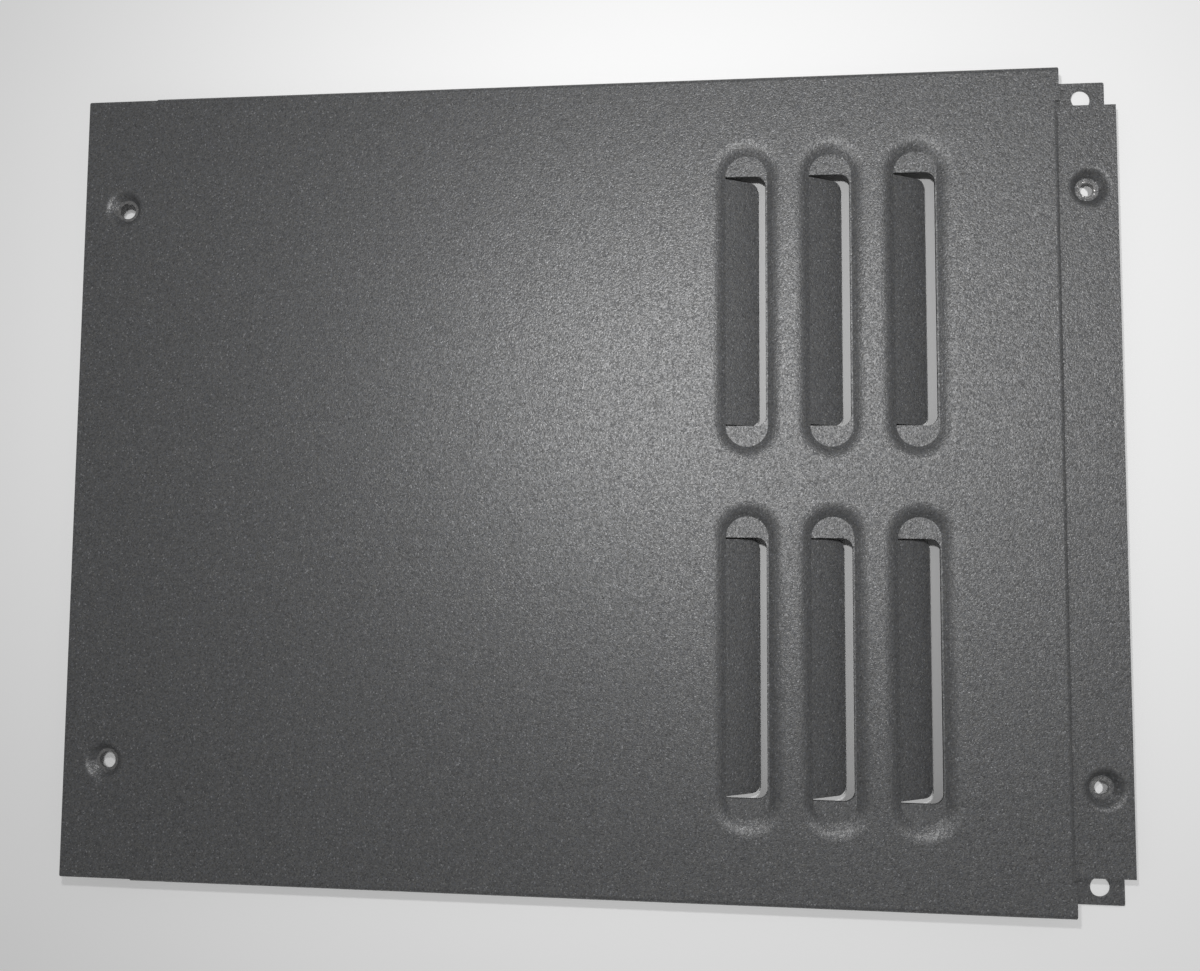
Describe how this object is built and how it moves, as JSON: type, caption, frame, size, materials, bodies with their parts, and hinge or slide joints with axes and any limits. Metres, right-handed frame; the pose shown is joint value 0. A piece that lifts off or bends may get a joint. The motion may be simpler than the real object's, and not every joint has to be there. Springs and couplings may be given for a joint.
{
  "type": "louvred sheet metal panel",
  "caption": "Shallow folded steel cover panel with two rows of pressed louvres, a stepped screw flange at one end and bolt ears at its corners.",
  "frame": {"origin": "middle of the panel's outline, on the plane that its lips lie on", "axes": "+X along the panel from its plain edge to its stepped end, +Y across it, +Z out of its face"},
  "size_m": [0.36, 0.278, 0.01],
  "materials": {
    "powder_coat": "fine textured charcoal powder coat, worn to bare metal round the screw holes"
  },
  "bodies": {
    "root": {"louvred_panel": "powder_coat"}
  },
  "joints": []
}
